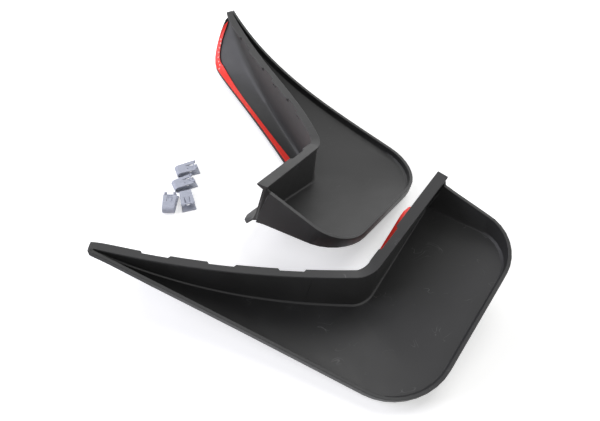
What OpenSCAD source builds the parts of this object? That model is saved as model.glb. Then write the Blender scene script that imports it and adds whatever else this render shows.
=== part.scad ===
// A handed pair of moulded mud flaps with taped flanges and four spring clips, laid out on a table.
// Each flap is drawn in its own frame: x runs along the arm from the nose to the corner, y points from
// the wall to the flange, and the tray panel lies on the other side of the wall.

/* [Arm] */
// Length of the arm from the nose to the corner
arm_l = 270; // [240:1:300]
// How far the arm's wall bows towards the panel
arm_bow = 12; // [4:1:20]
// Height of the clip strip at the nose
nose_h = 75; // [68:1:84]
// Height that pulls the clip strip down behind the nose
front_pull_h = 49; // [44:1:60]
// Height that pulls the clip strip up before the corner
rear_pull_h = 64; // [58:1:72]
// Height of the clip strip at the corner
corner_h = 61; // [56:1:70]

/* [Short wall] */
// Length of the short wall from the corner to its open end
short_l = 119; // [105:1:135]
// Angle by which the short wall turns away from the arm
turn = 54.5; // [46:0.5:64]
// Height of the clip strip at the open end
end_h = 104; // [97:1:112]
// Reach of the rounded corner along both walls
corner_reach = 13; // [8:1:18]

/* [Wall] */
// Thickness of the standing wall
wall_t = 3; // [2:0.1:4]
// Height of the wall at the nose
nose_wall_h = 5; // [4:0.5:7]
// Floor height that pulls the keel down behind the nose
keel_pull_h = 0; // [-4:0.5:6]
// Height of the tray floor at the open end
end_floor_h = 48; // [44:1:52]
// How far the foot of the arm's wall stands out towards the flange
arm_lean = 5; // [3:0.5:8]
// How far the foot of the short wall stands out at its end
end_lean = 15; // [10:0.5:18]

/* [Panel] */
// Thickness of the skin under the panel and the flange
skin_t = 3; // [2:0.1:4]
// Thickness of the skin at the nose
nose_skin_t = 1.5; // [1:0.1:2]
// Free corner of the panel past the wall's corner, along the arm
low_corner_x = 50; // [40:1:60]
// Free corner of the panel away from the wall
low_corner_y = 115; // [105:1:125]
// Far corner of the panel past the wall's corner, along the arm
high_corner_x = 148; // [138:1:158]
// Far corner of the panel on the flange's side of the arm
high_corner_y = 52; // [44:1:60]
// Reach of the rounding at the free corner
low_corner_reach = 53; // [45:1:65]
// Reach of the rounding at the far corner
high_corner_reach = 40; // [30:1:46]
// Radius that softens the foot of each wall
foot_r = 2; // [1:0.5:5]
// Radius of the cove between the wall's back and the flange
cove_r = 9; // [4:0.5:12]

/* [Rim] */
// Thickness of the rim
rim_t = 3.5; // [2.5:0.1:4.5]
// Draft of the rim's inner face
rim_draft = 1; // [0.5:0.1:2]
// How far the rim's edge pulls away from the arm in its front third
front_rim_w = 20; // [12:1:28]
// Height that pulls the rim's edge down in the arm's front third
front_rim_pull_h = 28; // [22:1:34]
// How far the rim's edge pulls away from the arm in its rear third
rear_rim_w = 58; // [48:1:66]
// Height that pulls the rim's edge in the arm's rear third
rear_rim_pull_h = 24; // [18:1:30]
// Height of the rim above the floor along the arm
arm_rim_h = 7; // [5:0.5:9]
// Height of the rim above the floor at the free corner
low_rim_h = 8; // [6:0.5:10]
// Height of the rim above the floor at the far corner
high_rim_h = 11; // [9:0.5:14]
// Height of the rim's top at the far corner
high_rim_top = 69; // [62:1:76]
// Drop from the clip strip to the rim's top at the open end
end_rim_drop = 10; // [7:0.5:14]
// How far the rim stops short of the clip strip's end
end_rim_set = 2; // [1.5:0.1:3]

/* [Flange] */
// Reach of the flange at the nose
flange_nose_w = 10.5; // [9:0.5:12]
// Drop from the wall's foot to the flange's edge at the nose
flange_nose_drop = 4; // [3:0.5:6]
// Distance of the flange's widest place from the nose
bulge_x = 30; // [26:1:40]
// Reach of the flange from the wall's line at its widest
bulge_w = 39.5; // [37:0.5:44]
// Height of the flange's edge at its widest
bulge_h = 12.5; // [10:0.5:16]
// Reach of the flange before the corner
flange_w = 29; // [27:0.5:34]
// Height of the flange's edge along the arm
flange_h = 6; // [5:0.5:9]
// Reach of the flange where the short wall starts
short_flange_w = 25; // [22:0.5:28]
// Reach of the flange at the open end
end_flange_w = 37; // [33:0.5:41]
// Height of the flange's edge at the open end
end_flange_h = 34; // [30:0.5:38]
// Length over which the flange's edge rounds in at the open end
end_round = 16; // [10:0.5:20]

/* [Clip strip] */
// Width of the strip on top of the arm's wall
strip_w = 9.2; // [8:0.1:10]
// Width of the strip on top of the short wall
short_strip_w = 11.8; // [10:0.1:13]
// How far the strip stands out over the short wall's inner face
strip_lip = 1.5; // [1:0.1:2.5]
// How much narrower the strip is at the nose
nose_taper = 2; // [1:0.5:3]
// Thickness of the strip
strip_t = 2.5; // [2:0.1:3]
// Depth of a clip seat in the strip's edge
seat_depth = 2.4; // [1.4:0.1:3]
// Length of a clip seat
seat_l = 26; // [22:0.5:30]
// Distance of the first seat from the nose
seat_first = 45; // [40:1:52]
// Distance from the first seat to the second
front_pitch = 63; // [56:1:68]
// Distance from the second seat to the third
rear_pitch = 69; // [62:1:74]
// Distance of the short wall's seat from the corner
short_seat = 27; // [24:1:34]
// Distance from a seat to the first of the two slots behind it
slot_set = 1.4; // [1:0.1:3]
// Distance between the two slots
slot_pitch = 5; // [4.2:0.1:6]
// Width of a slot
slot_w = 3; // [2:0.1:3.6]
// Height of a slot
slot_h = 5.5; // [4:0.5:6.5]
// Depth of a slot's middle below the strip's edge
slot_drop = 6; // [5.5:0.5:8]

/* [Tape] */
// Width of the foam tape
tape_w = 10; // [8:0.5:11]
// Thickness of the foam tape
tape_t = 1.1; // [0.8:0.1:2]
// Thickness of the release liner
liner_t = 0.4; // [0.2:0.1:0.6]
// Bare edge left outside the tape
tape_margin = 1.4; // [0.8:0.1:2]
// Clearance under the tape and under its liner
bond_gap = 0.15; // [0.05:0.05:0.3]
// Distance along the arm at which its tape starts
tape_start = 1; // [1:1:10]
// Distance along the arm at which its tape ends
tape_end = 250; // [225:1:255]
// Distance along the short wall at which the near flap's tape ends
near_tape_end = 116; // [80:1:118]
// Distance along the short wall at which the far flap's tape ends
far_tape_end = 84; // [76:1:118]

/* [Clip] */
// Width of a clip at its mouth
clip_w = 16.5; // [15:0.5:18]
// Width of a clip at its bend
bend_w = 13.5; // [12:0.5:15]
// Length of a clip's back leg
clip_l = 23; // [21:0.5:26]
// How much shorter the front leg is
front_short = 4; // [3:0.5:6]
// Thickness of a clip's sheet
clip_t = 1.4; // [1:0.1:1.8]
// Gap between a clip's legs
clip_gap = 6; // [5:0.1:7]
// Diameter of the hole in a clip's back leg
clip_hole_d = 5; // [4:0.1:6]
// Distance of that hole from the bend
clip_hole_x = 12.5; // [11.5:0.1:13.5]
// Width of the tongue that is cut from the front leg
tongue_w = 5; // [4:0.5:6]
// Length of the tongue
tongue_l = 8; // [6:0.5:9]
// How far the tongue is bent into the gap
tongue_dip = 1.8; // [1:0.1:2.2]
// Width of a prong at the front leg's mouth
prong_w = 3; // [2:0.5:4]
// Rise of a prong above the front leg
prong_h = 3; // [2:0.5:4]

/* [Layout] */
// Nose of the near flap, left to right
near_x = -202; // [-300:0.5:300]
// Nose of the near flap, front to back
near_y = -137; // [-300:0.5:300]
// Heading of the near flap's arm
near_heading = -5.3; // [-30:0.1:30]
// Nose of the far flap, left to right
far_x = -93.5; // [-300:0.5:300]
// Nose of the far flap, front to back
far_y = 261; // [-300:0.5:300]
// Heading of the far flap's arm
far_heading = -64.1; // [-90:0.1:-40]

/* [Hidden] */
up = [0, 0, 1];
nose_r = 3;
flap_colour = "#202121";
foam_colour = "#2e2e2e";
liner_colour = "#ff4d42";
clip_colour = "#b4b8c4";

// Curve tools: a rail is a list of knots and the cubic curves between them
function mix(a, b, u) = a + (b - a) * u;
function cubic(p, u) =
  pow(1 - u, 3) * p[0] + 3 * u * pow(1 - u, 2) * p[1] + 3 * u * u * (1 - u) * p[2] + pow(u, 3) * p[3];
function straight(a, b) = [a, mix(a, b, 1 / 3), mix(a, b, 2 / 3), b];
round_pull = 0.55;
function rounded(a, c, b) = [a, mix(a, c, round_pull), mix(b, c, round_pull), b];
function unit(v) = v / norm(v);
function toward(a, b, reach) = a + unit(b - a) * reach;
function piece(knots, t) = max([for (i = [0:len(knots) - 2]) if (i == 0 || t >= knots[i]) i]);
function at(rail, t) =
  let (i = piece(rail[0], t))
  cubic(rail[1][i], (t - rail[0][i]) / (rail[0][i + 1] - rail[0][i]));
look = 0.002;
function run(rail, t) = unit(at(rail, min(t + look, 1)) - at(rail, max(t - look, 0)));
function left_of(rail, t) =
  let (r = run(rail, t))
  unit([-r.y, r.x, 0]);

// Where the arm ends, the corner ends and the short wall ends
wall_knots = [0, 0.58, 0.7, 1];
function arm_t(x) = wall_knots[1] * x / (arm_l - corner_reach);
function short_t(s) = mix(wall_knots[2], 1, (s - corner_reach) / (short_l - corner_reach));
short_dir = [cos(turn), sin(turn), 0];
short_out = [-sin(turn), cos(turn), 0];
// Corner of two lines that stand off the arm and the short wall by these widths
function corner_off(w_arm, w_short) = [arm_l + (w_arm * cos(turn) - w_short) / sin(turn), w_arm];
function lift(p, z) = [p.x, p.y, z];
function bent_wall(arm, corner, end) =
  let (arm_end = toward(corner, arm[2], corner_reach), short_start = toward(corner, end, corner_reach))
  [
    wall_knots,
    [
      [arm[0], arm[1], arm[2], arm_end],
      rounded(arm_end, corner, short_start),
      straight(short_start, end)
    ]
  ];

// Tray side of the clip strip
corner_top = [arm_l, 0, corner_h];
end_top = lift(corner_top + short_dir * short_l, end_h);
ridge = bent_wall(
  [[0, 0, nose_h], [arm_l / 3, 0, front_pull_h], [arm_l * 2 / 3, -arm_bow, rear_pull_h]],
  corner_top,
  end_top
);

// Foot of the wall on the tray floor, whose skin lies on the table along the keel
end_foot = lift(end_top + short_out * end_lean, end_floor_h);
foot = bent_wall(
  [
    [0, 0, nose_h - nose_wall_h],
    [arm_l / 3, arm_lean, keel_pull_h],
    [arm_l * 2 / 3, arm_lean - arm_bow / 2, skin_t]
  ],
  lift(corner_off(arm_lean, arm_lean), skin_t),
  end_foot
);

// Outer edge of the flange
bulge = [bulge_x, bulge_w, bulge_h];
bulge_run = unit([20, 1, -2.5]);
bulge_in = 18;
bulge_out = 22;
flange_nose = [nose_r, flange_nose_w, nose_h - nose_wall_h - flange_nose_drop];
nose_spread = 0.4;
nose_sink = 0.33;
nose_pull = [
  flange_nose.x,
  mix(flange_nose_w, bulge_w, nose_spread),
  mix(flange_nose.z, bulge_h, nose_sink)
];
flange_corner = lift(corner_off(flange_w, short_flange_w), flange_h);
flange_tip = lift(end_top + short_out * end_flange_w, end_flange_h);
flange_end = flange_tip - short_out * end_round / 2;
flange_arm_end = flange_corner - [corner_reach, 0, 0];
flange_pull = 0.4;
flange_short = toward(flange_corner, flange_tip, corner_reach);
flange_round = toward(flange_tip, flange_corner, end_round);
flange = [
  [0, arm_t(bulge_x), wall_knots[1], wall_knots[2], short_t(short_l - end_round), 1],
  [
    [flange_nose, nose_pull, bulge - bulge_run * bulge_in, bulge],
    [bulge, bulge + bulge_run * bulge_out, flange_arm_end - [arm_l * flange_pull, 0, 0], flange_arm_end],
    rounded(flange_arm_end, flange_corner, flange_short),
    straight(flange_short, flange_round),
    rounded(flange_round, flange_tip, flange_end)
  ]
];

// Outer top edge of the rim, from the nose round the free and far corners to the open end
rim_knots = [0, 0.46, 0.64, 0.74, 0.88, 1];
function tray_edge(nose, bow, low, high, end) =
  let (
    low_in = toward(low, bow[1], low_corner_reach),
    low_out = toward(low, high, low_corner_reach),
    high_in = toward(high, low, high_corner_reach),
    high_out = toward(high, end, high_corner_reach)
  )
  [
    rim_knots,
    [
      [nose, bow[0], bow[1], low_in],
      rounded(low_in, low, low_out),
      straight(low_out, high_in),
      rounded(high_in, high, high_out),
      straight(high_out, end)
    ]
  ];
rim_bow = [[arm_l / 3, -front_rim_w, front_rim_pull_h], [arm_l * 2 / 3, -rear_rim_w, rear_rim_pull_h]];
low_corner = [arm_l + low_corner_x, -low_corner_y, skin_t + low_rim_h];
high_corner = [arm_l + high_corner_x, high_corner_y, high_rim_top];
post_gap = 0.4;
short_in = -short_out * post_gap;
rim_end = end_top + short_in - short_dir * end_rim_set - up * end_rim_drop;
rim_nose = [0, -rim_t, nose_h];
rim = tray_edge(rim_nose, rim_bow, low_corner, high_corner, rim_end);

// Inner foot of the rim on the tray floor
rim_in = rim_t + rim_draft;
function inset(p, a, b, w) =
  let (u = unit(p - a), v = unit(b - p), l = [-u.y - v.y, u.x + v.x, 0])
  p + l * w / (1 + u * v);
low_sill = inset(low_corner, rim_bow[1], high_corner, rim_in) - up * low_rim_h;
high_sill = inset(high_corner, low_corner, rim_end, rim_in) - up * high_rim_h;
sill_bow = [for (p = rim_bow) p + [0, rim_in, -arm_rim_h]];
sill_set = 0.5;
sill_end = end_foot + short_in - short_dir * sill_set;
sill_nose = [nose_skin_t, -nose_skin_t, nose_h - nose_wall_h];
sill = tray_edge(sill_nose, sill_bow, low_sill, high_sill, sill_end);

// The flange's top from its edge to the wall's foot, with the two edges of the tape between them.
// Where the flange or the wall is small, margin, tape and fillet take these shares of it.
margin_share = 0.15;
tape_share = 0.65;
fillet_share = 0.28;
function foot_back(t) = at(foot, t) + left_of(ridge, t) * wall_t;
function skin(t) = mix(nose_skin_t, skin_t, min(1, t / arm_t(seat_first)));
function rise(t, r) = min(r, norm(at(ridge, t) - at(foot, t)) * fillet_share);
function flange_top(t) =
  let (edge = at(flange, t), back = foot_back(t), w = norm(back - edge))
  [
    edge,
    toward(edge, back, min(tape_margin, w * margin_share)),
    toward(edge, back, min(tape_margin + tape_w, w * tape_share)),
    toward(back, edge, min(cove_r, w * fillet_share))
  ];

// Points that round an inner corner from a, which is left out, to b
cove_steps = 3;
function cove(a, corner, b) =
  [for (i = [1:cove_steps]) let (u = i / cove_steps) mix(mix(a, corner, u), mix(corner, b, u), u)];

// A place on the strip's top at a distance from its tray side, and the distance of the wall's back there:
// the arm's wall stands below the bottom of the seats and the short wall below the strip's inner edge
function crest(t, w) = at(ridge, t) + left_of(ridge, t) * w;
function bend_mix(t, arm, short) = lookup(t, [[wall_knots[1], arm], [wall_knots[2], short]]);
function strip_at(t) = bend_mix(t, strip_w, short_strip_w);
function back_at(t) = bend_mix(t, strip_w - seat_depth, strip_lip + wall_t);

// The flap's cross-section at one place along it, for a clip strip of width w
function section(t, w) =
  let (
    top = at(ridge, t),
    base = at(foot, t),
    lip = at(rim, t),
    toe = at(sill, t),
    off = -left_of(rim, t),
    wing = flange_top(t),
    lip_in = lip - off * rim_t,
    soft = min(foot_r, norm(toe - base) * fillet_share),
    under = toe + off * rim_t,
    skin = up * skin(t),
    back = back_at(t),
    sheet = up * strip_t,
    brow = toward(crest(t, back) - sheet, foot_back(t), strip_t),
    eave = crest(t, back - wall_t) - sheet
  )
  concat(
    wing,
    cove(wing[3], foot_back(t), toward(foot_back(t), brow, rise(t, cove_r))),
    [
      brow,
      crest(t, w) - sheet,
      crest(t, w),
      top,
      top - sheet,
      eave,
      toward(base, eave, rise(t, foot_r)),
      toward(base, toe, soft),
      mix(base, toe, 1 / 3),
      mix(base, toe, 2 / 3),
      toward(toe, base, soft),
      toward(toe, lip_in, soft),
      lip_in,
      lip,
      under + up * soft - skin,
      toward(under, toe, soft / 2) - skin,
      mix(base, toe, 2 / 3) - skin,
      mix(base, toe, 1 / 3) - skin,
      base - skin,
      wing[3] - skin,
      wing[0] - skin
    ]
  );
section_caps = [
  [0, 1, 26, 27], [1, 2, 3, 26], [3, 14, 25, 26], [3, 4, 13, 14], [4, 5, 6, 13], [6, 7, 12, 13],
  [7, 8, 9, 12], [9, 10, 11, 12], [14, 15, 24, 25], [15, 16, 23, 24], [16, 17, 22, 23], [17, 18, 21, 22],
  [18, 19, 20, 21]
];

// Clip strip widths along the wall: each span is its start, its end and the strip's width there
arm_seats = [seat_first, seat_first + front_pitch, seat_first + front_pitch + rear_pitch];
breaks = concat(
  [0],
  [for (x = arm_seats) each [arm_t(x), arm_t(x + seat_l)]],
  [wall_knots[1], wall_knots[2], short_t(short_seat), short_t(short_seat + seat_l), 1]
);
seat_after = [1, 3, 5, 9];
nose_step = 0.009;
step = 0.02;
ramp = 0.002;
taper_power = 6;
stations = [
  for (i = [0:len(breaks) - 2])
    let (
      a = breaks[i] + (i == 0 ? 0 : ramp),
      b = breaks[i + 1] - (i == len(breaks) - 2 ? 0 : ramp),
      n = ceil((b - a) / (i == 0 ? nose_step : step)),
      seat = len(search(i, seat_after)) > 0 ? seat_depth : 0,
      taper = i == 0 ? nose_taper : 0
    )
    for (j = [0:n])
      let (t = mix(a, b, j / n))
      [t, strip_at(t) - seat - taper * pow(1 - j / n, taper_power)]
];

// A solid between sections that all have the same number of points, closed by quads at both ends.
// Sides from number turned on are split along their other diagonal.
module loft(rings, caps, turned = undef) {
  n = len(rings[0]);
  last = (len(rings) - 1) * n;
  sides = [
    for (i = [0:len(rings) - 2])
      for (j = [0:n - 1])
        let (a = i * n + j, b = i * n + (j + 1) % n)
        each is_undef(turned) || j < turned
          ? [[a, a + n, b], [b, a + n, b + n]]
          : [[a, b + n, b], [a, a + n, b + n]]
  ];
  ends = [
    for (q = caps) each [
      [q[0], q[1], q[2]], [q[0], q[2], q[3]],
      [q[2] + last, q[1] + last, q[0] + last], [q[3] + last, q[2] + last, q[0] + last]
    ]
  ];
  polyhedron(points = [for (r = rings) each r], faces = concat(sides, ends), convexity = 10);
}

// A rounded web through small balls
module web(points, d) {
  hull()
    for (p = points) translate(p) sphere(d = d, $fn = 10);
}

// Rounded end of the nose, where strip, wall and rim run together
nose_set = 0.55;
nose_x = nose_r * nose_set;
module nose_end() {
  low = nose_h - nose_wall_h - nose_skin_t + nose_r;
  tray = nose_r - rim_t;
  back = crest(0, strip_w - nose_taper);
  web(
    [
      [nose_x, back.y - nose_r, back.z - nose_r], [nose_x, tray, nose_h - nose_r],
      [nose_x, tray, low], [nose_x, wall_t, low]
    ],
    2 * nose_r
  );
}

// Corner post that ties the end wall to the short wall
module end_post() {
  in = wall_t / 2;
  face = short_out * in - short_dir * in;
  web(
    [
      crest(1, strip_lip + in) - short_dir * in - up * (strip_t + in), end_foot + face,
      rim_end - short_dir * in - up * in, sill_end
    ],
    wall_t
  );
}

// An upright slot through the wall below the strip
slot_l = 4 * wall_t;
module seat_slot(t) {
  heading = run(ridge, t);
  translate(crest(t, back_at(t)) - up * slot_drop)
    rotate([90, 0, atan2(heading.y, heading.x)])
      hull()
        for (side = [-1, 1])
          translate([0, side * (slot_h - slot_w) / 2])
            cylinder(d = slot_w, h = slot_l, center = true, $fn = 16);
}

slot_reach = [seat_l + slot_set, seat_l + slot_set + slot_pitch];
slot_spots = [
  for (d = slot_reach) each concat([for (x = arm_seats) arm_t(x + d)], [short_t(short_seat + d)])
];
module flap_shell() {
  difference() {
    union() {
      loft([for (s = stations) section(s[0], s[1])], section_caps);
      nose_end();
      end_post();
    }
    for (t = slot_spots) seat_slot(t);
  }
}

// A strip that lies on the flange between two places, from one height to another above it
module tape_layer(from, to, low, high) {
  spots = [for (s = stations) if (s[0] > from && s[0] < to) s[0]];
  loft(
    [
      for (t = spots)
        let (
          wing = flange_top(t),
          lift_dir = unit(cross(wing[2] - wing[1], run(flange, t)))
        )
        [
          wing[1] + lift_dir * high, wing[2] + lift_dir * high,
          wing[2] + lift_dir * low, wing[1] + lift_dir * low
        ]
    ],
    [[0, 1, 2, 3]],
    turned = 2
  );
}
arm_span = [arm_t(tape_start), arm_t(tape_end)];
near_corner_span = [wall_knots[2], short_t(near_tape_end)];
far_corner_span = [wall_knots[2], short_t(far_tape_end)];
foam_top = bond_gap + tape_t;
liner_low = foam_top + bond_gap;
module foam(span) {
  tape_layer(span[0], span[1], bond_gap, foam_top);
}
module liner(span) {
  tape_layer(span[0], span[1], liner_low, liner_low + liner_t);
}

// A clip folded from sheet, lying on its back leg with its bend at the left
clip_h = clip_gap + 2 * clip_t;
front_l = clip_l - front_short;
module bent_sheet() {
  difference() {
    union() {
      circle(d = clip_h);
      translate([0, -clip_h / 2]) square([clip_l, clip_t]);
      translate([0, clip_gap / 2]) square([front_l, clip_t]);
    }
    circle(d = clip_gap);
    translate([0, -clip_gap / 2]) square([clip_l, clip_gap]);
  }
}
module across(w) {
  rotate([90, 0, 0]) linear_extrude(w, center = true) children();
}
module clip_plan() {
  bend = clip_h / 2;
  polygon([[-bend, -bend_w / 2], [clip_l, -clip_w / 2], [clip_l, clip_w / 2], [-bend, bend_w / 2]]);
}
tongue_x = clip_hole_x - tongue_l / 2;
tongue_slit = 0.6;
overrun = 1;
weld = 0.01;
prong_lean = 1;
module clip() {
  translate([0, 0, clip_h / 2]) {
    difference() {
      intersection() {
        across(clip_w) bent_sheet();
        linear_extrude(clip_h, center = true) clip_plan();
      }
      translate([clip_hole_x, 0, -clip_h / 2 - overrun])
        cylinder(d = clip_hole_d, h = clip_t + 2 * overrun);
      translate([tongue_x, -tongue_w / 2 - tongue_slit, clip_gap / 2 - overrun])
        cube([tongue_l + tongue_slit, tongue_w + 2 * tongue_slit, clip_t + 2 * overrun]);
    }
    across(tongue_w)
      translate([tongue_x, clip_gap / 2])
        polygon([[-weld, 0], [tongue_l, -tongue_dip], [tongue_l, clip_t - tongue_dip], [-weld, clip_t]]);
    for (s = [-1, 1])
      translate([0, s * (clip_w / 2 - prong_w), 0])
        across(prong_w)
          translate([front_l, clip_gap / 2])
            polygon([
              [-weld, 0], [clip_t, 0], [clip_t + prong_lean, prong_h],
              [prong_lean, prong_h], [-weld, clip_t]
            ]);
  }
}

module near() {
  translate([near_x, near_y]) rotate(near_heading) children();
}

module far() {
  translate([far_x, far_y]) rotate(far_heading) mirror([0, 1, 0]) children();
}

// Place and heading of each clip in the heap
clip_spots = [[-151, -30, 90], [-134, -7, -74], [-146, 5.5, 27], [-145.5, 29, 22]];
module laid_clip(i) {
  color(clip_colour) translate([clip_spots[i].x, clip_spots[i].y]) rotate(clip_spots[i][2]) clip();
}

module near_flap() {
  color(flap_colour) near() flap_shell();
}
module near_arm_tape() {
  color(foam_colour) near() foam(arm_span);
}
module near_arm_liner() {
  color(liner_colour) near() liner(arm_span);
}
module near_corner_tape() {
  color(foam_colour) near() foam(near_corner_span);
}
module near_corner_liner() {
  color(liner_colour) near() liner(near_corner_span);
}
module far_flap() {
  color(flap_colour) far() flap_shell();
}
module far_arm_tape() {
  color(foam_colour) far() foam(arm_span);
}
module far_arm_liner() {
  color(liner_colour) far() liner(arm_span);
}
module far_corner_tape() {
  color(foam_colour) far() foam(far_corner_span);
}
module far_corner_liner() {
  color(liner_colour) far() liner(far_corner_span);
}
module clip_1() {
  laid_clip(0);
}
module clip_2() {
  laid_clip(1);
}
module clip_3() {
  laid_clip(2);
}
module clip_4() {
  laid_clip(3);
}

near_flap();
near_arm_tape();
near_arm_liner();
near_corner_tape();
near_corner_liner();
far_flap();
far_arm_tape();
far_arm_liner();
far_corner_tape();
far_corner_liner();
clip_1();
clip_2();
clip_3();
clip_4();
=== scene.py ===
import math

import bmesh
import bpy
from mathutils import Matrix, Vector


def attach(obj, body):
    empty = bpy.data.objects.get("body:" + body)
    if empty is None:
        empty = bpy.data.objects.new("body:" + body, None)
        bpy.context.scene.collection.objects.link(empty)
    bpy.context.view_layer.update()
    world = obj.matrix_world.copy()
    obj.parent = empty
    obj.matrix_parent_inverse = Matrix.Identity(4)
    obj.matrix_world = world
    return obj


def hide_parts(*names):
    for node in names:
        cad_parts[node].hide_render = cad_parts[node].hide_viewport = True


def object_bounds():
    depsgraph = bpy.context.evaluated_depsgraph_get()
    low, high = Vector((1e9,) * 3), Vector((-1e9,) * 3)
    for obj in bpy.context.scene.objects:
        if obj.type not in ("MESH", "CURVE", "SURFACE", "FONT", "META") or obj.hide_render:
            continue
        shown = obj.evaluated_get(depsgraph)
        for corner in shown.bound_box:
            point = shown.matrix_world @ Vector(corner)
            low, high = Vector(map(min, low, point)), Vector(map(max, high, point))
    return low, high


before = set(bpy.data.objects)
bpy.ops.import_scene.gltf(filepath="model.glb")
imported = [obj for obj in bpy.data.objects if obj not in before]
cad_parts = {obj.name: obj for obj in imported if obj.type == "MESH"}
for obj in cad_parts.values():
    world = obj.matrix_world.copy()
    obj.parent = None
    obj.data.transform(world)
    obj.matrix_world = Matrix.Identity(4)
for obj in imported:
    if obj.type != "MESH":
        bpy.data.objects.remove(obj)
cadLow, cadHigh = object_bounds()
print("frame: %d nodes loaded" % len(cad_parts))

mm = 0.001


def hexToLinear(code):
    parts = [int(code[i:i + 2], 16) / 255 for i in (1, 3, 5)]
    return [c / 12.92 if c <= 0.04045 else ((c + 0.055) / 1.055) ** 2.4 for c in parts] + [1]


def addNode(tree, kind, settings=None, inputs=None):
    node = tree.nodes.new(kind)
    for name, value in (settings or {}).items():
        setattr(node, name, value)
    for name, value in (inputs or {}).items():
        if isinstance(value, bpy.types.NodeSocket):
            tree.links.new(value, node.inputs[name])
        else:
            node.inputs[name].default_value = value
    return node


def newMaterial(name):
    material = bpy.data.materials.new(name)
    material.use_nodes = True
    tree = material.node_tree
    tree.nodes.clear()
    shader = addNode(tree, "ShaderNodeBsdfPrincipled")
    addNode(tree, "ShaderNodeOutputMaterial", inputs={"Surface": shader.outputs[0]})
    return material, tree, shader


# moulded polypropylene: dyed through, a fine spark-eroded grain that dulls the shine, faint rubbing marks
flapPlastic = {
    "tone": "#252525",
    "tonePale": "#2d2d2d",
    "cloudSize": 45 * mm,
    "cloudDetail": 3,
    "cloudRoughness": 0.6,
    "cloudSpan": (0.3, 0.7),  # the noise values between which the roughness rises
    "roughness": (0.44, 0.56),
    "ior": 1.49,
    "shine": 0.42,
    "grainSize": 1.1 * mm,  # the real grain is near 0.3 mm, drawn coarser so that it shows
    "grainDetail": 2,
    "grainDepth": 0.03 * mm,
    "grainStrength": 0.6,
    "scuffTone": "#646463",
    "scuffSpread": 22 * mm,
    "scuffDetail": 1,
    "scuffWarp": 1.2,
    "scuffLevel": 0.5,  # a scuff follows this level of the warped noise
    "scuffWidth": 0.011,  # and fades out within this step of it
    "patchSize": 24 * mm,
    "patchDetail": 2,
    "patchSpan": (0.56, 0.68),  # scuffs show only where the patch noise is higher than this
    "upwardSpan": (0.7, 0.9),  # rubbing marks the faces that look up, not the walls
    "scuffs": {"near": 0.6, "far": 0.2},
}


def makeFlapPlastic(name, scuffs):
    material, tree, shader = newMaterial(name)
    place = addNode(tree, "ShaderNodeTexCoord").outputs["Object"]
    cloud = addNode(tree, "ShaderNodeTexNoise", inputs={
        "Vector": place, "Scale": 1 / flapPlastic["cloudSize"],
        "Detail": flapPlastic["cloudDetail"], "Roughness": flapPlastic["cloudRoughness"]})
    tone = addNode(tree, "ShaderNodeMix", {"data_type": "RGBA"}, {
        0: cloud.outputs["Fac"],
        6: hexToLinear(flapPlastic["tone"]), 7: hexToLinear(flapPlastic["tonePale"])})
    # a scuff is a thin level line of a warped noise, kept only where a second noise is high
    line = addNode(tree, "ShaderNodeTexNoise", inputs={
        "Vector": place, "Scale": 1 / flapPlastic["scuffSpread"],
        "Detail": flapPlastic["scuffDetail"], "Distortion": flapPlastic["scuffWarp"]})
    offLine = addNode(tree, "ShaderNodeMath", {"operation": "SUBTRACT"}, {
        0: line.outputs["Fac"], 1: flapPlastic["scuffLevel"]})
    fromLine = addNode(tree, "ShaderNodeMath", {"operation": "ABSOLUTE"}, {0: offLine.outputs[0]})
    hair = addNode(tree, "ShaderNodeMapRange", {"interpolation_type": "SMOOTHSTEP"}, {
        "Value": fromLine.outputs[0], "From Min": 0, "From Max": flapPlastic["scuffWidth"],
        "To Min": 1, "To Max": 0})
    patch = addNode(tree, "ShaderNodeTexNoise", inputs={
        "Vector": place, "Scale": 1 / flapPlastic["patchSize"], "Detail": flapPlastic["patchDetail"]})
    kept = addNode(tree, "ShaderNodeMapRange", inputs={
        "Value": patch.outputs["Fac"],
        "From Min": flapPlastic["patchSpan"][0], "From Max": flapPlastic["patchSpan"][1],
        "To Min": 0, "To Max": scuffs})
    facing = addNode(tree, "ShaderNodeSeparateXYZ", inputs={
        0: addNode(tree, "ShaderNodeNewGeometry").outputs["Normal"]})
    upward = addNode(tree, "ShaderNodeMapRange", inputs={
        "Value": facing.outputs["Z"],
        "From Min": flapPlastic["upwardSpan"][0], "From Max": flapPlastic["upwardSpan"][1]})
    rubbed = addNode(tree, "ShaderNodeMath", {"operation": "MULTIPLY"}, {
        0: kept.outputs[0], 1: upward.outputs[0]})
    scuff = addNode(tree, "ShaderNodeMath", {"operation": "MULTIPLY"}, {
        0: hair.outputs[0], 1: rubbed.outputs[0]})
    colour = addNode(tree, "ShaderNodeMix", {"data_type": "RGBA"}, {
        0: scuff.outputs[0], 6: tone.outputs[2], 7: hexToLinear(flapPlastic["scuffTone"])})
    rough = addNode(tree, "ShaderNodeMapRange", inputs={
        "Value": cloud.outputs["Fac"],
        "From Min": flapPlastic["cloudSpan"][0], "From Max": flapPlastic["cloudSpan"][1],
        "To Min": flapPlastic["roughness"][0], "To Max": flapPlastic["roughness"][1]})
    grain = addNode(tree, "ShaderNodeTexNoise", inputs={
        "Vector": place, "Scale": 1 / flapPlastic["grainSize"], "Detail": flapPlastic["grainDetail"]})
    bump = addNode(tree, "ShaderNodeBump", inputs={
        "Height": grain.outputs["Fac"],
        "Distance": flapPlastic["grainDepth"], "Strength": flapPlastic["grainStrength"]})
    tree.links.new(colour.outputs[2], shader.inputs["Base Color"])
    tree.links.new(rough.outputs[0], shader.inputs["Roughness"])
    tree.links.new(bump.outputs[0], shader.inputs["Normal"])
    shader.inputs["IOR"].default_value = flapPlastic["ior"]
    shader.inputs["Specular IOR Level"].default_value = flapPlastic["shine"]
    return material


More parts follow.
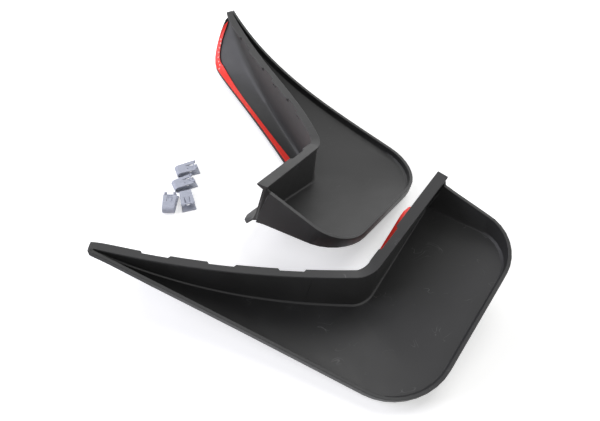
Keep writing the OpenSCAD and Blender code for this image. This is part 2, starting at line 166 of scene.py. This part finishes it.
# closed-cell polyethylene foam: dull, with open cells along its cut edges
foamTape = {
    "tone": "#191919",
    "cellTone": "#343434",
    "cellSize": 0.7 * mm,
    "cellDepth": 0.12 * mm,
    "cellStrength": 0.7,
    "roughness": 0.85,
}


def makeFoamTape():
    material, tree, shader = newMaterial("closedCellFoam")
    place = addNode(tree, "ShaderNodeTexCoord").outputs["Object"]
    cells = addNode(tree, "ShaderNodeTexVoronoi", inputs={
        "Vector": place, "Scale": 1 / foamTape["cellSize"]})
    colour = addNode(tree, "ShaderNodeMix", {"data_type": "RGBA"}, {
        0: cells.outputs["Distance"],
        6: hexToLinear(foamTape["tone"]), 7: hexToLinear(foamTape["cellTone"])})
    bump = addNode(tree, "ShaderNodeBump", inputs={
        "Height": cells.outputs["Distance"],
        "Distance": foamTape["cellDepth"], "Strength": foamTape["cellStrength"]})
    tree.links.new(colour.outputs[2], shader.inputs["Base Color"])
    tree.links.new(bump.outputs[0], shader.inputs["Normal"])
    shader.inputs["Roughness"].default_value = foamTape["roughness"]
    return material


# red polyethylene release film: satin, with faint air bubbles; the tops of its puckers are painted pale
# as a painted highlight
linerFilm = {
    "tone": "#ff463c",
    "toneDeep": "#f63e34",
    "highlightTone": "#ffdcd6",
    "bubbleSize": 2.6 * mm,
    "bubbleSoftness": 0.6,
    "bubbleDepth": 0.16 * mm,
    "bubbleStrength": 0.5,
    "rippleSize": 14 * mm,
    "rippleDetail": 2,
    "roughness": 0.3,
    "shine": 0.2,
}


def makeLinerFilm():
    material, tree, shader = newMaterial("redReleaseFilm")
    place = addNode(tree, "ShaderNodeTexCoord").outputs["Object"]
    ripple = addNode(tree, "ShaderNodeTexNoise", inputs={
        "Vector": place, "Scale": 1 / linerFilm["rippleSize"], "Detail": linerFilm["rippleDetail"]})
    colour = addNode(tree, "ShaderNodeMix", {"data_type": "RGBA"}, {
        0: ripple.outputs["Fac"],
        6: hexToLinear(linerFilm["tone"]), 7: hexToLinear(linerFilm["toneDeep"])})
    # painted highlight: the film's colour turns pale towards the tops of the puckers
    paintedHighlight = addNode(tree, "ShaderNodeAttribute", {"attribute_name": "paintedHighlight"})
    withPaintedHighlight = addNode(tree, "ShaderNodeMix", {"data_type": "RGBA"}, {
        0: paintedHighlight.outputs["Fac"], 6: colour.outputs[2], 7: hexToLinear(linerFilm["highlightTone"])})
    bubbles = addNode(tree, "ShaderNodeTexVoronoi", {"feature": "SMOOTH_F1"}, {
        "Vector": place, "Scale": 1 / linerFilm["bubbleSize"], "Smoothness": linerFilm["bubbleSoftness"]})
    height = addNode(tree, "ShaderNodeMath", {"operation": "SUBTRACT"}, {
        0: ripple.outputs["Fac"], 1: bubbles.outputs["Distance"]})
    bump = addNode(tree, "ShaderNodeBump", inputs={
        "Height": height.outputs[0],
        "Distance": linerFilm["bubbleDepth"], "Strength": linerFilm["bubbleStrength"]})
    tree.links.new(withPaintedHighlight.outputs[2], shader.inputs["Base Color"])
    tree.links.new(bump.outputs[0], shader.inputs["Normal"])
    shader.inputs["Roughness"].default_value = linerFilm["roughness"]
    shader.inputs["Specular IOR Level"].default_value = linerFilm["shine"]
    return material


# zinc-flake coated spring steel: bluish grey, tumbled dull, with a faint spangle
clipSteel = {
    "tone": "#aaaeba",
    "toneDark": "#a0a4b0",
    "spangleSize": 1.6 * mm,
    "tumbleSize": 0.5 * mm,
    "tumbleDetail": 2,
    "tumbleDepth": 0.02 * mm,
    "tumbleStrength": 0.5,
    "roughness": (0.55, 0.68),
    "metallic": 0.15,
}


def makeClipSteel():
    material, tree, shader = newMaterial("zincFlakeSteel")
    place = addNode(tree, "ShaderNodeTexCoord").outputs["Object"]
    spangle = addNode(tree, "ShaderNodeTexVoronoi", inputs={
        "Vector": place, "Scale": 1 / clipSteel["spangleSize"]})
    patch = addNode(tree, "ShaderNodeSeparateColor", inputs={0: spangle.outputs["Color"]})
    colour = addNode(tree, "ShaderNodeMix", {"data_type": "RGBA"}, {
        0: patch.outputs[0],
        6: hexToLinear(clipSteel["tone"]), 7: hexToLinear(clipSteel["toneDark"])})
    rough = addNode(tree, "ShaderNodeMapRange", inputs={
        "Value": patch.outputs[1],
        "To Min": clipSteel["roughness"][0], "To Max": clipSteel["roughness"][1]})
    tumble = addNode(tree, "ShaderNodeTexNoise", inputs={
        "Vector": place, "Scale": 1 / clipSteel["tumbleSize"], "Detail": clipSteel["tumbleDetail"]})
    bump = addNode(tree, "ShaderNodeBump", inputs={
        "Height": tumble.outputs["Fac"],
        "Distance": clipSteel["tumbleDepth"], "Strength": clipSteel["tumbleStrength"]})
    tree.links.new(colour.outputs[2], shader.inputs["Base Color"])
    tree.links.new(rough.outputs[0], shader.inputs["Roughness"])
    tree.links.new(bump.outputs[0], shader.inputs["Normal"])
    shader.inputs["Metallic"].default_value = clipSteel["metallic"]
    return material


materials = {
    "nearPlastic": makeFlapPlastic("scuffedPolypropylene", flapPlastic["scuffs"]["near"]),
    "farPlastic": makeFlapPlastic("mouldedPolypropylene", flapPlastic["scuffs"]["far"]),
    "foam": makeFoamTape(),
    "film": makeLinerFilm(),
    "steel": makeClipSteel(),
}
print("materials: %d made" % len(materials))

# a finished piece is its solid with flat facets joined and edges rounded where there is room beside them
finish = {
    "mergeGap": 0.004 * mm,
    "joinAngle": 12,
    "joinShape": 60,
    "room": 1.6,  # width beside an edge, as a multiple of its rounding
    "shortest": 1e-9,
    "profile": 0.5,
}


def roomBeside(edge):
    narrowest = min(face.calc_area() for face in edge.link_faces)
    return narrowest / max(edge.calc_length(), finish["shortest"])


def finishedCopy(node, name, body, material, edges, reshape=None):
    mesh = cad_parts[node].data.copy()
    mesh.name = name
    for old in ("custom_normal", "sharp_edge", "sharp_face"):
        if old in mesh.attributes:
            mesh.attributes.remove(mesh.attributes[old])
    bm = bmesh.new()
    bm.from_mesh(mesh)
    bmesh.ops.remove_doubles(bm, verts=bm.verts, dist=finish["mergeGap"])
    bmesh.ops.dissolve_degenerate(bm, edges=bm.edges, dist=finish["mergeGap"])
    bmesh.ops.join_triangles(
        bm, faces=bm.faces, angle_face_threshold=math.radians(finish["joinAngle"]),
        angle_shape_threshold=math.radians(finish["joinShape"]))
    if reshape:
        reshape(bm)
    weight = bm.edges.layers.float.new("bevel_weight_edge")
    widest = max(edges["round"], edges["fillet"])
    for edge in bm.edges:
        if not edge.is_manifold or edge.calc_face_angle(0) < math.radians(edges["sharpest"]):
            continue
        size = edges["round"] if edge.is_convex else edges["fillet"]
        if roomBeside(edge) > finish["room"] * size:
            edge[weight] = size / widest
    bm.to_mesh(mesh)
    bm.free()
    mesh.shade_smooth()
    mesh.set_sharp_from_angle(angle=math.radians(edges["sharpest"]))
    mesh.materials.clear()
    mesh.materials.append(material)
    piece = bpy.data.objects.new(name, mesh)
    bpy.context.scene.collection.objects.link(piece)
    rounding = piece.modifiers.new("edgeRounding", "BEVEL")
    rounding.limit_method = "WEIGHT"
    rounding.width = widest
    rounding.segments = edges["segments"]
    rounding.profile = finish["profile"]
    rounding.use_clamp_overlap = False
    rounding.harden_normals = True
    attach(piece, body)
    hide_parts(node)
    return piece


# moulded shells: outer edges broken, inner corners filleted
shellEdges = {"round": 0.6 * mm, "fillet": 0.5 * mm, "sharpest": 28, "segments": 3}
for side in ("near", "far"):
    plastic = materials[side + "Plastic"]
    finishedCopy(side + "_flap", side + "Shell", side + "_flap", plastic, shellEdges)
print("shells: near and far")

# tape strips: foam with softened edges under a thin film
foamEdges = {"round": 0.3 * mm, "fillet": 0.1 * mm, "sharpest": 40, "segments": 2}
filmEdges = {"round": 0.1 * mm, "fillet": 0.1 * mm, "sharpest": 40, "segments": 2}
# the film of an arm puckers on its inner side, where the straight tape was laid round the flange's bulge
pucker = {
    "first": 21 * mm,  # from the film's upper end
    "pitch": 6.6 * mm,
    "count": 8,
    "inward": 1.6 * mm,
    "radius": 1.7 * mm,
    "height": 0.5 * mm,
    "cuts": 15,
    "margin": 2,  # pitches of film that are cut finely before the first pucker and after the last
    "topFacing": 0.2,
    "smallestTop": 4 * mm * mm,
}


def puckerFilm(bm):
    bm.normal_update()
    tops = [
        face for face in bm.faces
        if face.normal.z > pucker["topFacing"] and face.calc_area() > pucker["smallestTop"]]
    highest = max(tops, key=lambda face: face.calc_center_median().z).calc_center_median()
    tops.sort(key=lambda face: (face.calc_center_median() - highest).length)
    line = [face.calc_center_median() for face in tops]
    travelled = [0]
    for start, end in zip(line, line[1:]):
        travelled.append(travelled[-1] + (end - start).length)
    middle = sum(line, Vector()) / len(line)
    last = pucker["first"] + pucker["pitch"] * (pucker["count"] - 1)
    peaks = []
    for number in range(pucker["count"]):
        along = pucker["first"] + number * pucker["pitch"]
        step = max(i for i in range(len(travelled) - 1) if travelled[i] <= along)
        share = (along - travelled[step]) / (travelled[step + 1] - travelled[step])
        spot = line[step].lerp(line[step + 1], share)
        across = (line[step + 1] - line[step]).cross(tops[step].normal).normalized()
        if across.dot(middle - spot) < 0:
            across.negate()
        peaks.append(spot + across * pucker["inward"])
    margin = pucker["margin"] * pucker["pitch"]
    ruffled = [
        face for face, at in zip(tops, travelled) if pucker["first"] - margin < at < last + margin]
    bmesh.ops.subdivide_edges(
        bm, edges=list({edge for face in ruffled for edge in face.edges}),
        cuts=pucker["cuts"], use_grid_fill=True)
    bm.normal_update()
    # each pucker's swell also marks where the film's colour is painted pale, a painted highlight
    paintedHighlight = bm.verts.layers.float.new("paintedHighlight")
    for vertex in bm.verts:
        near = min((vertex.co - peak).length for peak in peaks) / pucker["radius"]
        if near < 1 and vertex.normal.z > pucker["topFacing"]:
            swell = (1 - near * near) ** 2
            vertex.co += vertex.normal * pucker["height"] * swell
            vertex[paintedHighlight] = swell


for side in ("near", "far"):
    for stretch in ("arm", "corner"):
        stem = side + "_" + stretch
        label = side + stretch.capitalize()
        reshape = puckerFilm if stretch == "arm" else None
        finishedCopy(
            stem + "_tape", label + "Foam", side + "_flap", materials["foam"], foamEdges)
        finishedCopy(
            stem + "_liner", label + "Film", stem + "_liner", materials["film"], filmEdges,
            reshape)
print("tape: four strips and their films")

# spring clips: sheet edges rounded by tumbling
clipEdges = {"round": 0.25 * mm, "fillet": 0.25 * mm, "sharpest": 40, "segments": 2}
clipCount = 4
for number in range(1, clipCount + 1):
    node = "clip_%d" % number
    finishedCopy(node, "springClip%d" % number, node, materials["steel"], clipEdges)
print("clips: %d" % clipCount)

# white paper table: it takes the shadows near the middle and glows white further out
table = {
    "size": 6.0,
    "bounce": "#e6e6e6",
    "shown": "#f3f3f2",
    "glow": 0.47,
    "sweep": (0.5, 1.1),  # the paper's own light rises to white between these distances from the middle
    "drop": 0.02 * mm,
}


def seenDirectly(tree):
    path = addNode(tree, "ShaderNodeLightPath")
    seen = addNode(tree, "ShaderNodeMath", {"operation": "ADD", "use_clamp": True}, {
        0: path.outputs["Is Camera Ray"], 1: path.outputs["Is Glossy Ray"]})
    seenAll = addNode(tree, "ShaderNodeMath", {"operation": "ADD", "use_clamp": True}, {
        0: seen.outputs[0], 1: path.outputs["Is Transmission Ray"]})
    return seenAll.outputs[0]


def makeTable():
    bm = bmesh.new()
    bmesh.ops.create_grid(bm, x_segments=1, y_segments=1, size=table["size"] / 2)
    bmesh.ops.translate(bm, verts=bm.verts, vec=(0, 0, cadLow.z - table["drop"]))
    mesh = bpy.data.meshes.new("whiteTable")
    bm.to_mesh(mesh)
    bm.free()
    floor = bpy.data.objects.new("whiteTable", mesh)
    bpy.context.scene.collection.objects.link(floor)
    material = bpy.data.materials.new("whitePaperSweep")
    material.use_nodes = True
    tree = material.node_tree
    tree.nodes.clear()
    bounce = addNode(tree, "ShaderNodeBsdfDiffuse", inputs={"Color": hexToLinear(table["bounce"])})
    paper = addNode(tree, "ShaderNodeBsdfDiffuse", inputs={"Color": hexToLinear(table["shown"])})
    away = addNode(tree, "ShaderNodeVectorMath", {"operation": "LENGTH"}, {
        0: addNode(tree, "ShaderNodeTexCoord").outputs["Object"]})
    lift = addNode(tree, "ShaderNodeMapRange", {"interpolation_type": "SMOOTHSTEP"}, {
        "Value": away.outputs["Value"], "From Min": table["sweep"][0], "From Max": table["sweep"][1],
        "To Min": table["glow"], "To Max": 1})
    glow = addNode(tree, "ShaderNodeEmission", inputs={"Strength": lift.outputs[0]})
    shown = addNode(tree, "ShaderNodeAddShader", inputs={0: paper.outputs[0], 1: glow.outputs[0]})
    mixed = addNode(tree, "ShaderNodeMixShader", inputs={
        0: seenDirectly(tree), 1: bounce.outputs[0], 2: shown.outputs[0]})
    addNode(tree, "ShaderNodeOutputMaterial", inputs={"Surface": mixed.outputs[0]})
    mesh.materials.append(material)


makeTable()

# studio: soft boxes above, behind and in front of the table, a window at the left, a white room around
studio = {
    "room": 0.05,  # what the room itself sheds on the table, though it is seen and mirrored as white
    "roomTint": "#ffffff",
    "aim": Vector((0, 0, 0.03)),
    "boxes": {  # level is the brightness of a box's face, where white paper is 1
        "topRightBox": {
            "place": Vector((0.5, 0.42, 1.13)), "size": (0.8, 0.8), "level": 3.9, "tint": "#ffffff"},
        "backLeftBox": {
            "place": Vector((-0.53, 0.91, 0.76)), "size": (0.8, 0.6), "level": 2.4, "tint": "#ffffff"},
        "backWall": {
            "place": Vector((0, 1.28, 0.25)), "size": (2.4, 0.5), "level": 1.0, "tint": "#ffffff"},
        "leftWindow": {
            "place": Vector((-1.14, -0.1, 0.61)), "size": (0.9, 0.6), "level": 7.7, "tint": "#f3f3ff"},
        "fillBox": {
            "place": Vector((0.61, -0.87, 0.75)), "size": (0.8, 0.6), "level": 2.3, "tint": "#ffffff"},
    },
}


def makeStudio():
    world = bpy.data.worlds.new("whiteRoom")
    world.use_nodes = True
    tree = world.node_tree
    tree.nodes.clear()
    level = addNode(tree, "ShaderNodeMapRange", inputs={
        "Value": seenDirectly(tree), "To Min": studio["room"], "To Max": 1})
    glow = addNode(tree, "ShaderNodeBackground", inputs={
        "Color": hexToLinear(studio["roomTint"]), "Strength": level.outputs[0]})
    addNode(tree, "ShaderNodeOutputWorld", inputs={"Surface": glow.outputs[0]})
    bpy.context.scene.world = world
    for name, box in studio["boxes"].items():
        lamp = bpy.data.lights.new(name, "AREA")
        lamp.shape = "RECTANGLE"
        lamp.size, lamp.size_y = box["size"]
        lamp.color = hexToLinear(box["tint"])[:3]
        lamp.energy = box["level"] * math.pi * lamp.size * lamp.size_y
        stand = bpy.data.objects.new(name, lamp)
        stand.location = box["place"]
        stand.rotation_euler = (studio["aim"] - box["place"]).to_track_quat("-Z", "Y").to_euler()
        bpy.context.scene.collection.objects.link(stand)


makeStudio()

# camera: looks down from the front of the table
view = {
    "target": Vector((-0.85, -28.15, 0)) * mm,
    "tilt": 50,
    "away": 733.7 * mm,
    "lens": 38.28,
    "sensor": 36,
    "nearest": 0.01,
}


def makeCamera():
    tilt = math.radians(view["tilt"])
    back = Vector((0, -math.cos(tilt), math.sin(tilt)))
    camera = bpy.data.cameras.new("photoView")
    camera.sensor_fit = "HORIZONTAL"
    camera.sensor_width = view["sensor"]
    camera.lens = view["lens"]
    camera.clip_start = view["nearest"]
    eye = bpy.data.objects.new("photoView", camera)
    eye.location = view["target"] + back * view["away"]
    eye.rotation_euler = (-back).to_track_quat("-Z", "Y").to_euler()
    bpy.context.scene.collection.objects.link(eye)
    bpy.context.scene.camera = eye


makeCamera()
bpy.context.scene.view_settings.view_transform = "Standard"
print("stage: table, lights and camera set")
